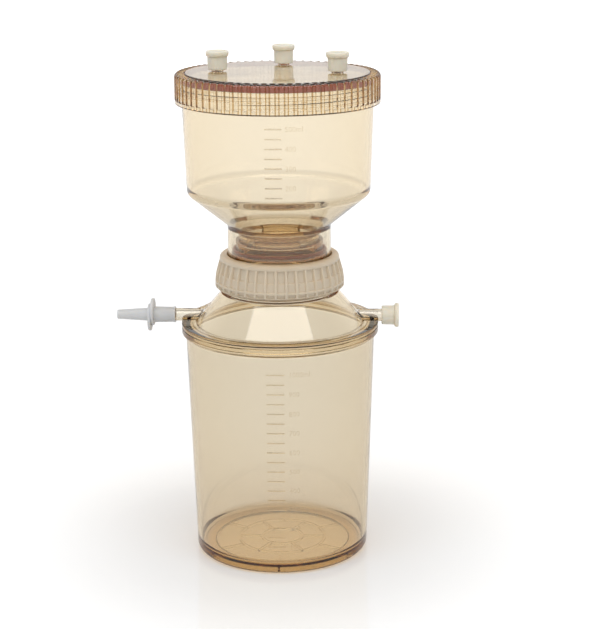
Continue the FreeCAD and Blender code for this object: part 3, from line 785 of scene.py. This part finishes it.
# ---------------------------------------------------------------- upper chamber
def chamber():
    """Drafted cup on a cone, with the skirt, orifice lip and sealing bead, bayonet lugs and rim thread."""
    slope = (CONE_TOP - CONE_FOOT) / (CHAMBER_BASE_R - SKIRT_R)
    wall_up = WALL * hypot(1.0, slope)
    wall_slope = (CHAMBER_RIM - CONE_TOP) / (CHAMBER_TOP_R - CHAMBER_BASE_R)
    inner_rim = (CHAMBER_TOP_R - WALL, CHAMBER_RIM)
    inner_corner = meet(inner_rim, wall_slope, (SKIRT_R, CONE_FOOT + wall_up), slope)
    bead_low = LIP_UNDERSIDE - BEAD_DROP
    cup = lathe("chamber_cup", rounded([
        (SKIRT_BORE_R, SKIRT_FOOT, 0.3),
        (SKIRT_FLANGE_R, SKIRT_FOOT, 0.3),
        (SKIRT_FLANGE_R, SKIRT_FOOT + SKIRT_FLANGE_T, 0.4),
        (SKIRT_R, SKIRT_FOOT + SKIRT_FLANGE_T, 0.4),
        (SKIRT_R, CONE_FOOT, 1.2),
        (CHAMBER_BASE_R, CONE_TOP, 5.0),
        (CHAMBER_TOP_R, CHAMBER_RIM, 0.6),
        (*inner_rim, 0.6),
        (*inner_corner, 7.0),
        (ORIFICE_R, CONE_FOOT + wall_up - slope * (SKIRT_R - ORIFICE_R), 0.8),
        (ORIFICE_R, LIP_UNDERSIDE, 0.4),
        (BEAD_R - BEAD_T / 2, LIP_UNDERSIDE),
        (BEAD_R - BEAD_T / 2, bead_low, 0.9),
        (BEAD_R + BEAD_T / 2, bead_low, 0.9),
        (BEAD_R + BEAD_T / 2, LIP_UNDERSIDE),
        (LIP_R, LIP_UNDERSIDE, 0.4),
        (LIP_R, CONE_FOOT - slope * (SKIRT_R - LIP_R), 0.6),
        (SKIRT_BORE_R, CONE_FOOT - slope * (SKIRT_R - SKIRT_BORE_R), 0.4),
    ]), AMBER)
    lug = block(LUG_R, SKIRT_BORE_R + FUSE_LAP, LUG_LOW, LUG_HIGH)
    lugs = [arc_ring("lug", lug, middle, LUG_HALF_ANGLE, AMBER) for middle in (90.0, 270.0)]
    rim_thread = thread("rim_thread", CHAMBER_TOP_R - RIM_THREAD_LAP, LID_BORE_R - LID_THREAD_GAP,
                        LID_THREAD_T, LID_PITCH, RIM_THREAD_LOW, LID_THREAD_START, RIM_THREAD_TURNS, AMBER)
    boolean(cup, lugs + [rim_thread], "UNION")
    settle(cup, "chamber", "amber_plastic", "upper_chamber")
    marks = raised_scale("chamber_scale", CHAMBER_LEVELS, CHAMBER_LABELS,
                         lambda z: CHAMBER_BASE_R + (z - CONE_TOP) / wall_slope,
                         CHAMBER_LINE, CHAMBER_LABEL_LEFT)
    settle(marks, "chamber", "amber_plastic")


# ---------------------------------------------------------------- lid
def lid_port_places():
    for side in ("left", "rear", "right"):
        low, high = box("lid_port_cap_" + side)
        middle = (low + high) / 2
        yield side, Matrix.Translation((middle.x * MM, middle.y * MM, 0))


def lid():
    """Ribbed screw lid: flat top with three port tubes, thread inside its skirt."""
    cell_top = LID_TOP - LID_RIB_HEIGHT
    plain_top = LID_FOOT + LID_PLAIN_FOOT
    cell_foot = plain_top + LID_RIB_HEIGHT
    lip_low = LID_UNDERSIDE - GASKET_GRIP
    groove_top = LID_UNDERSIDE + GASKET_GROOVE
    inside = [
        (0, LID_UNDERSIDE),
        (LID_LIP_R - LID_LIP_T, LID_UNDERSIDE, 0.3),
        (LID_LIP_R - LID_LIP_T, lip_low),
        (LID_LIP_R, lip_low),
        (LID_LIP_R, groove_top),
        (LID_BORE_R, groove_top, 0.3),
        (LID_BORE_R, LID_FOOT + LID_FOOT_CHAMFER),
        (LID_BORE_R + LID_FOOT_CHAMFER, LID_FOOT),
        (LID_R, LID_FOOT, 0.4),
    ]
    floor_line = inside + [
        (LID_R, plain_top, 0.4),
        (LID_CELL_R, cell_foot),
        (LID_CELL_R, cell_top, 2.0),
        (LID_FLAT_R + LID_RIB_HEIGHT, cell_top),
        (LID_FLAT_R, LID_TOP, 0.3),
        (0, LID_TOP),
    ]
    # point for point with the cells' line; a hair off the straight, a round has an arc to take
    crest_line = inside + [
        (LID_R - 0.01, plain_top, 0.4),
        (LID_R, cell_foot),
        (LID_R, LID_TOP, 2.4),
        (LID_FLAT_R + LID_RIB_HEIGHT, LID_TOP),
        (LID_FLAT_R, LID_TOP + 0.001, 0.3),
        (0, LID_TOP),
    ]
    turns = ribbed_turns(LID_RIBS, LID_RIB_T, LID_RIB_SLOPE, LID_R, radians(LID_FIRST_RIB))
    cover = lathe("lid_cover", rounded(floor_line), AMBER_FLANK_SHADED, rounded(crest_line), turns, LID_SHARP_ANGLE)
    low, high = LID_PORT_ROOT, LID_TOP + LID_PORT_HEIGHT
    tube_line = rounded([(0, low), (LID_PORT_R, low), (LID_PORT_R, high, 0.4), (0, high)], 3)
    bore = block(0, LID_PORT_BORE_R, LID_UNDERSIDE - CUT_PAST, high + CUT_PAST)
    bore_line = [Vector(corner) for corner in bore]
    tubes, bores = [], []
    for _, place in lid_port_places():
        tube = lathe("tube", tube_line, AMBER_FLANK_SHADED, turns=plain_turns(TUBE_STEPS))
        bore = lathe("bore", bore_line, AMBER_FLANK_SHADED, turns=plain_turns(TUBE_STEPS))
        tubes.append(moved(tube, place))
        bores.append(moved(bore, place))
    lid_thread = thread("lid_thread", LID_BORE_R + THREAD_LAP, CHAMBER_TOP_R + LID_THREAD_GAP,
                        LID_THREAD_T, LID_PITCH, RIM_THREAD_LOW - LID_PITCH / 2, LID_THREAD_START,
                        LID_THREAD_TURNS, AMBER_FLANK_SHADED)
    boolean(cover, tubes + [lid_thread], "UNION", LID_SHARP_ANGLE)
    boolean(cover, bores, "DIFFERENCE", LID_SHARP_ANGLE)
    settle(cover, "lid", "amber_plastic", "lid")


# ---------------------------------------------------------------- gaskets
def gaskets():
    """Flat rings between the neck and the skirt, and between the chamber's rim and the lid."""
    neck = ring("neck_seal", NECK_GASKET_BORE_R, NECK_GASKET_R,
                NECK_TOP + GASKET_SLIVER, SKIRT_FOOT - GASKET_SLIVER, RED_SHADED, 0.2)
    settle(neck, "receiver", "red_silicone", "neck_gasket")
    middle_r = CHAMBER_TOP_R - WALL / 2
    lid_seal = ring("lid_seal_ring", middle_r - GASKET_HALF_WIDTH, middle_r + GASKET_HALF_WIDTH,
                    CHAMBER_RIM + GASKET_SLIVER, LID_UNDERSIDE + GASKET_GROOVE - GASKET_SLIVER, RED, 0.3)
    settle(lid_seal, "lid_seal", "red_silicone", "lid_gasket")


# ---------------------------------------------------------------- locking collar
def collar_side(cell, step, band_cell):
    """Outside of the collar from foot to top.

    Cell is how deep it lies under the ribs' crests, step how much deeper above the ledge, and band_cell
    how deep just under the top band.
    """
    foot_top = COLLAR_FOOT + COLLAR_FOOT_RISE
    belly = COLLAR_FOOT + COLLAR_BELLY_RISE
    ledge = COLLAR_FOOT + COLLAR_LEDGE_RISE
    band = COLLAR_TOP - COLLAR_TOP_BAND
    ledge_r = COLLAR_R - COLLAR_LEDGE_DRAFT
    band_r = COLLAR_R - COLLAR_TOP_DRAFT
    return [
        (COLLAR_R - COLLAR_FOOT_DRAFT, COLLAR_FOOT, 0.5),
        (COLLAR_R, foot_top),
        (COLLAR_R - cell, foot_top + 0.2),
        (COLLAR_R - cell, belly - 1.3),
        (COLLAR_R, belly - 1.0),
        (COLLAR_R, belly),
        (COLLAR_R - cell, belly + 0.3),
        (ledge_r - cell, ledge - 0.1),
        (ledge_r - cell - step, ledge + 0.2),
        (band_r - band_cell, band - 0.4),
        (band_r, band),
        (band_r, COLLAR_TOP, 2.4),
    ]


def collar():
    """Two tiers of grip cells on a belly, a smooth top band and a smooth foot, threaded inside."""
    lip_low = COLLAR_TOP - COLLAR_LIP_T
    inner = [
        (COLLAR_LIP_R, COLLAR_TOP, 0.5),
        (COLLAR_LIP_R, lip_low, 0.3),
        (COLLAR_SEAT_R, lip_low),
        (COLLAR_SEAT_R, NECK_TOP),
        (COLLAR_BORE_R, NECK_TOP),
        (COLLAR_BORE_R, COLLAR_FOOT),
    ]
    floor_line = collar_side(COLLAR_CELL_DEPTH, COLLAR_TIER_STEP, COLLAR_CELL_DEPTH) + inner
    crest_line = collar_side(cell=0.0, step=0.1, band_cell=-0.1) + inner
    turns = ribbed_turns(COLLAR_RIBS, COLLAR_RIB_T, COLLAR_RIB_SLOPE, COLLAR_R, radians(COLLAR_FIRST_RIB))
    grip = lathe("collar_grip", rounded(floor_line), COLLAR, rounded(crest_line), turns)
    collar_thread = thread("collar_thread", COLLAR_BORE_R + THREAD_LAP, COLLAR_THREAD_R, COLLAR_THREAD_T,
                           COLLAR_PITCH, NECK_THREAD_LOW - COLLAR_PITCH / 2, 0.0, COLLAR_THREAD_TURNS, COLLAR)
    boolean(grip, [collar_thread], "UNION")
    settle(grip, "collar", "collar_plastic", "locking_collar")


# ---------------------------------------------------------------- port caps
def port_cap(name, tube_r, tube_inside, length, wall, projection, rim_t):
    """Soft stopper cap about Z, open end at Z = 0, with a soft rim round its dished face."""
    bore_r = tube_r + PUSH_FIT
    body_r = bore_r + wall
    rim_r = body_r + projection
    depth = tube_inside + 0.3
    return lathe(name, rounded([
        (bore_r, 0, 0.3),
        (body_r - 0.2, 0, 0.6),
        (body_r, length - rim_t - 0.4, 0.4),
        (rim_r - 0.3, length - rim_t, 0.4),
        (rim_r, length - rim_t / 2, 0.8),
        (rim_r - 0.1, length, 0.7),
        (rim_r - 1.5, length, 0.4),
        (rim_r - 1.8, length - 0.7, 0.3),
        (0, length - 0.7),
        (0, depth),
        (bore_r, depth, 0.3),
    ], 4), CAPS, turns=plain_turns(CAP_STEPS))


def port_caps():
    for side, place in lid_port_places():
        low, high = box("lid_port_cap_" + side)
        cap = port_cap("lid_cap_" + side, LID_PORT_R, LID_TOP + LID_PORT_HEIGHT - low.z, high.z - low.z,
                       LID_CAP_WALL, LID_CAP_PROJECTION, LID_CAP_RIM_T)
        moved(cap, place @ Matrix.Translation((0, 0, low.z * MM)))
        settle(cap, "cap_" + side, "cap_plastic", "lid_port_cap_" + side)
    low, high = box("side_port_cap")
    cap = port_cap("side_cap_piece", PORT_R, PORT_REACH - low.x, high.x - low.x,
                   SIDE_CAP_WALL, SIDE_CAP_PROJECTION, SIDE_CAP_RIM_T)
    along_x(moved(cap, Matrix.Translation((0, 0, low.x * MM))), 1)
    settle(cap, "side_cap", "cap_plastic", "side_port_cap")


receiver()
chamber()
lid()
gaskets()
collar()
port_caps()


# ---------------------------------------------------------------- stage
def either(nodes, links, seen, *others):
    """The largest of the sources, so 1 where any of them is 1."""
    for other in others:
        seen = maths(nodes, links, "MAXIMUM", seen, other)
    return seen


def ramp(nodes, links, source, start, end, low, high):
    """Value that goes smoothly from low to high as source goes from start to end."""
    node = nodes.new("ShaderNodeMapRange")
    node.interpolation_type = "SMOOTHSTEP"
    for name, value in (("From Min", start), ("From Max", end), ("To Min", low), ("To Max", high)):
        node.inputs[name].default_value = value
    links.new(source, node.inputs["Value"])
    return node.outputs["Result"]


def floor():
    """Pale glossy table whose glow grows with distance: painted shade round the object and painted light
    further out; with a shadow and a faint reflection.
    """
    mesh = bpy.data.meshes.new("floor")
    corners = [(-FLOOR_HALF, -FLOOR_HALF, 0), (FLOOR_HALF, -FLOOR_HALF, 0),
               (FLOOR_HALF, FLOOR_HALF, 0), (-FLOOR_HALF, FLOOR_HALF, 0)]
    mesh.from_pydata(corners, [], [(0, 1, 2, 3)])
    obj = bpy.data.objects.new("floor", mesh)
    bpy.context.scene.collection.objects.link(obj)
    obj.location.z = -FLOOR_DROP
    mat, nodes, links = new_material("floor_white")
    shader = nodes.new("ShaderNodeBsdfPrincipled")
    shader.inputs["Base Color"].default_value = (0.95, 0.95, 0.95, 1.0)
    shader.inputs["Roughness"].default_value = 0.05
    place = nodes.new("ShaderNodeTexCoord")
    distance = nodes.new("ShaderNodeVectorMath")
    distance.operation = "LENGTH"
    links.new(place.outputs["Object"], distance.inputs[0])
    far_glow = ramp(nodes, links, distance.outputs["Value"], *FLOOR_GLOW)
    lift = ramp(nodes, links, distance.outputs["Value"], *FLOOR_LIFT)
    path = nodes.new("ShaderNodeLightPath")
    to_camera = path.outputs["Is Camera Ray"]
    seen = either(nodes, links, path.outputs["Is Glossy Ray"], path.outputs["Is Transmission Ray"], to_camera)
    seen_glow = maths(nodes, links, "MULTIPLY", far_glow, seen)
    glow = nodes.new("ShaderNodeEmission")
    links.new(maths(nodes, links, "MULTIPLY_ADD", to_camera, lift, seen_glow), glow.inputs["Strength"])
    add = nodes.new("ShaderNodeAddShader")
    links.new(shader.outputs["BSDF"], add.inputs[0])
    links.new(glow.outputs["Emission"], add.inputs[1])
    out = nodes.new("ShaderNodeOutputMaterial")
    links.new(add.outputs["Shader"], out.inputs["Surface"])
    mesh.materials.append(mat)


def world():
    """White round the horizon, dimmer overhead; white to the camera everywhere."""
    scene_world = bpy.data.worlds.new("studio")
    bpy.context.scene.world = scene_world
    scene_world.use_nodes = True
    nodes, links = scene_world.node_tree.nodes, scene_world.node_tree.links
    nodes.clear()
    path = nodes.new("ShaderNodeLightPath")
    place = nodes.new("ShaderNodeTexCoord")
    split = nodes.new("ShaderNodeSeparateXYZ")
    links.new(place.outputs["Generated"], split.inputs[0])
    sky = ramp(nodes, links, split.outputs["Z"], *SKY)
    strength = either(nodes, links, sky, path.outputs["Is Camera Ray"])
    back = nodes.new("ShaderNodeBackground")
    back.inputs["Color"].default_value = (1.0, 1.0, 1.0, 1.0)
    links.new(strength, back.inputs["Strength"])
    out = nodes.new("ShaderNodeOutputWorld")
    links.new(back.outputs["Background"], out.inputs["Surface"])


def softbox(name, place, target, width, height, power):
    light = bpy.data.lights.new(name, "AREA")
    light.shape = "RECTANGLE"
    light.size = width
    light.size_y = height
    light.energy = power
    obj = bpy.data.objects.new(name, light)
    obj.location = place
    aim = Vector(target) - Vector(place)
    obj.rotation_euler = aim.to_track_quat("-Z", "Y").to_euler()
    bpy.context.scene.collection.objects.link(obj)


def camera():
    data = bpy.data.cameras.new("camera")
    data.lens = LENS_MM
    data.sensor_width = 36.0
    data.shift_x = FRAME_SHIFT
    data.clip_end = 20.0
    obj = bpy.data.objects.new("camera", data)
    bpy.context.scene.collection.objects.link(obj)
    turn = Matrix.Rotation(VIEW_AZIMUTH, 4, "Z")
    place = Matrix.Translation(Vector((0, -VIEW_DISTANCE * MM, VIEW_HEIGHT * MM)))
    aside = Matrix.Rotation(-VIEW_YAW, 4, "Z")
    tilt = Matrix.Rotation(pi / 2 - VIEW_PITCH, 4, "X")
    obj.matrix_world = turn @ place @ aside @ tilt
    bpy.context.scene.camera = obj


floor()
world()
softbox("key_softbox", place=(0.0, -0.45, 1.25), target=(0, 0, 0.15), width=1.5, height=0.45, power=6.0)
camera()
bpy.context.scene.view_settings.view_transform = "Standard"
light_paths = bpy.context.scene.cycles
light_paths.max_bounces = LIGHT_BOUNCES
light_paths.transmission_bounces = LIGHT_BOUNCES
light_paths.glossy_bounces = GLOSSY_BOUNCES
light_paths.transparent_max_bounces = LIGHT_BOUNCES
